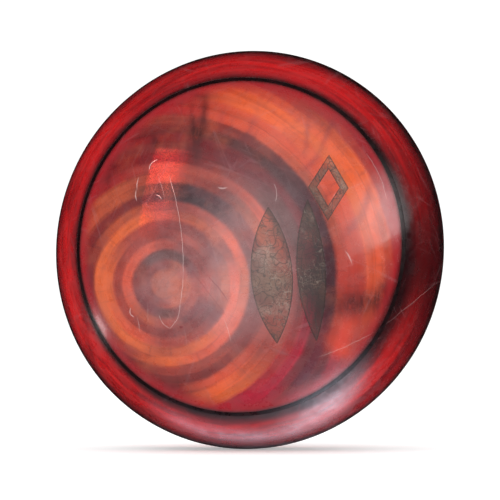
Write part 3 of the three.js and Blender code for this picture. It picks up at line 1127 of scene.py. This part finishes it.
def bare_wood():
    """The plug's unvarnished wood, with rings about its axis and fibres along it."""
    new_material("bare_wood")
    growth = maths("ADD", from_disc_middle(), times(noise(120, 3), 1.4))
    rings = maths("SINE", times(growth, 7.0))
    colour = mix(spread(rings, -0.6, 1.0), rgb(176, 124, 76), rgb(120, 74, 40))
    fibres = noise(1.0, 3, on=mapped(place(), Scale=(1400.0, 60.0, 1400.0)))
    colour = mix(spread(fibres, 0.5, 0.75, 0, 0.6), colour, rgb(84, 48, 26))
    bump(fibres, 0.4, 0.0003)
    return finished(colour, spread(fibres, 0.3, 0.7, 0.6, 0.8))


# ---- Light, floor and camera ----
CAMERA_AZIMUTH = 5.4
CAMERA_ELEVATION = -2.0
CAMERA_DISTANCE = 0.8995
CAMERA_LENS = 200.0
SURROUND_STRENGTH = 1.12
FLOOR_REACH = 4
FLOOR_GLOW = 0.35
BEAM_SIZE = (14.6 * MM, 32.0 * MM)
BEAM_SPREAD = radians(0.4)
BEAM_PATCH = Vector((-21.3, -50.0, 14.5)) * MM
BEAM_DISTANCE = 0.25
# The beam's energy is larger than it needs, so that it is always sampled, and its radiance dims it
BEAM_ENERGY = 2.5
BEAM_RADIANCE = 0.00092
BEAM_FADE = (0.55, 0.05, 0.6, 0.04)
WARM = (1.0, 0.42, 0.36)
EVEN_FADE = (0.5, 0.5, 0.5, 0.5)


def direction(azimuth, elevation):
    """From the bowl's middle, azimuth counted from the plain face's side towards +X."""
    turn, rise = radians(azimuth), radians(elevation)
    return Vector((sin(turn) * cos(rise), -cos(turn) * cos(rise), sin(rise)))


def aim(thing, target, roll=0.0):
    """Points a camera or a light at a target, then rolls it by some degrees."""
    sight = (target - thing.location).normalized()
    thing.rotation_euler = sight.to_track_quat("-Z", "Y").to_euler()
    if roll:
        thing.rotation_euler.rotate_axis("Z", radians(roll))


def area_light(name, size, colour, radiance, soft):
    """A rectangular light that the camera doesn't see. radiance is how bright its middle is, and soft the
    share of it that fades at its left, right, bottom and top edge, as the bowl sees them."""
    data = bpy.data.lights.new(name, "AREA")
    data.shape = "RECTANGLE"
    data.size, data.size_y = size
    data.color = colour
    data.use_nodes = True
    Writing.tree = data.node_tree
    geometry = new_node("NewGeometry").outputs["Parametric"]
    x, y = new_node("SeparateXYZ", {0: geometry}).outputs[:2]
    left, right, bottom, top = (max(edge, 0.001) for edge in soft)
    fade = radiance
    for value, low, high in ((x, 0, right), (x, 1, 1 - left), (y, 0, bottom), (y, 1, 1 - top)):
        fade = maths("MULTIPLY", fade, spread(value, low, high))
    link(fade, data.node_tree.nodes["Emission"].inputs["Strength"])
    light = add_object(name, data)
    light.visible_camera = False
    return light


def panel(name, azimuth, elevation, angles, radiance, soft=(0.3, 0.3, 0.3, 0.3), distance=0.8, roll=0.0,
          colour=(1.0, 1.0, 1.0), reflection_only=True):
    """A soft light that faces the bowl. angles is how wide and high it looks from there, in degrees."""
    size = [2 * distance * tan(radians(angle / 2)) for angle in angles]
    light = area_light(name, size, colour, radiance, soft)
    light.data.energy = pi * light.data.size * light.data.size_y
    light.location = MIDDLE + direction(azimuth, elevation) * distance
    aim(light, MIDDLE, roll)
    light.visible_diffuse = not reflection_only
    light.visible_glossy = reflection_only


def sunbeam():
    """A narrow warm beam that leaves a bright patch on the plain face."""
    light = area_light("sunbeam", BEAM_SIZE, WARM, BEAM_RADIANCE, BEAM_FADE)
    light.data.spread = BEAM_SPREAD
    light.data.energy = BEAM_ENERGY
    patch = MIDDLE + BEAM_PATCH
    light.location = patch + direction(-20, 12) * BEAM_DISTANCE
    aim(light, patch, -6)
    light.visible_glossy = False


def lights():
    panel("right_window", 76, 17, (66, 32), 2.8, (0.35, 0.5, 0.02, 0.6), roll=18)
    panel("front_glow", 9, -2, (68, 104), 1.7, (0.4, 0.4, 0.35, 0.6))
    panel("front_strip", -12, -20, (20, 66), 1.0, (0.4, 0.4, 0.3, 0.4))
    panel("low_right", 132, -55, (64, 34), 3.6, EVEN_FADE, 0.6, colour=(0.92, 0.95, 1.1))
    panel("low_inner", 112, -64, (50, 34), 1.9, EVEN_FADE, 0.6, colour=(0.9, 0.92, 1.1))
    panel("low_back", -165, -54, (60, 30), 1.5, EVEN_FADE, 0.6, colour=(0.9, 0.9, 1.1))
    panel("low_left", -101, -23, (13, 13), 6.0, EVEN_FADE, 0.6)
    panel("overhead", 40, 60, (80, 50), 0.55, EVEN_FADE)
    panel("key", -35, 40, (50, 50), 1.0, reflection_only=False)
    sunbeam()


def world():
    """An even white surround that lights the bowl but isn't reflected in it."""
    surround = bpy.data.worlds.new("soft_surround")
    bpy.context.scene.world = surround
    surround.use_nodes = True
    background = surround.node_tree.nodes["Background"]
    background.inputs["Color"].default_value = (1, 1, 1, 1)
    background.inputs["Strength"].default_value = SURROUND_STRENGTH
    surround.cycles_visibility.glossy = False


def floor():
    """A wide pale floor that runs out into the white surround."""
    mesh = bpy.data.meshes.new("pale_floor")
    corners = [(x * FLOOR_REACH, y * FLOOR_REACH, 0) for x, y in ((-1, -1), (1, -1), (1, 1), (-1, 1))]
    mesh.from_pydata(corners, [], [(0, 1, 2, 3)])
    sheet = add_object("pale_floor", mesh)
    new_material("pale_floor")
    glow = {"Emission_Color": (1, 1, 1, 1), "Emission_Strength": FLOOR_GLOW}
    mesh.materials.append(finished((0.9, 0.9, 0.9, 1), 0.9, **glow))
    sheet.visible_glossy = False
    sheet.visible_shadow = False


def camera():
    data = bpy.data.cameras.new("camera")
    data.lens = CAMERA_LENS
    view = add_object("camera", data)
    view.location = MIDDLE + direction(CAMERA_AZIMUTH, CAMERA_ELEVATION) * CAMERA_DISTANCE
    aim(view, MIDDLE)
    bpy.context.scene.camera = view


# ---- Putting it together ----
def finish_piece(piece, node, material):
    piece.data.set_sharp_from_angle(angle=SHARP_ANGLE)
    piece.data.materials.append(material)
    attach(piece, "root")
    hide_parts(node)


camera()
floor()
world()
lights()

body = make_body()
describe_surface(body)
finish_piece(body, "bowl_body", varnished_wood())

composition = olive_composition()
for leaf_name, leaf_shape in LEAVES.items():
    slip = leaf_mesh(leaf_name.replace("mark", "inlay"), leaf_shape)
    finish_piece(slip, leaf_name, composition)
slip = lozenge_mesh("inlay_lozenge")
finish_piece(slip, "mark_lozenge", composition)

wax = black_wax()
for ring_name, ring_turn in (("front_ring_fill", FRONT_RING_TURN), ("rear_ring_fill", REAR_RING_TURN)):
    finish_piece(ring_fill("wax_" + ring_name, ring_turn), ring_name, wax)

finish_piece(disc(), "bias_side_disc", ivory_disc())
brass = brass_pin()
for number, at in enumerate(PIN_PLACES, 1):
    finish_piece(pin(number, at), f"disc_pin_{number}", brass)
finish_piece(slug("plug", "weight_plug", 0.5), "weight_plug", bare_wood())
finish_piece(slug("lead_slug", "bias_weight", 0.8), "bias_weight", cast_lead())

bpy.context.scene.view_settings.view_transform = "Standard"
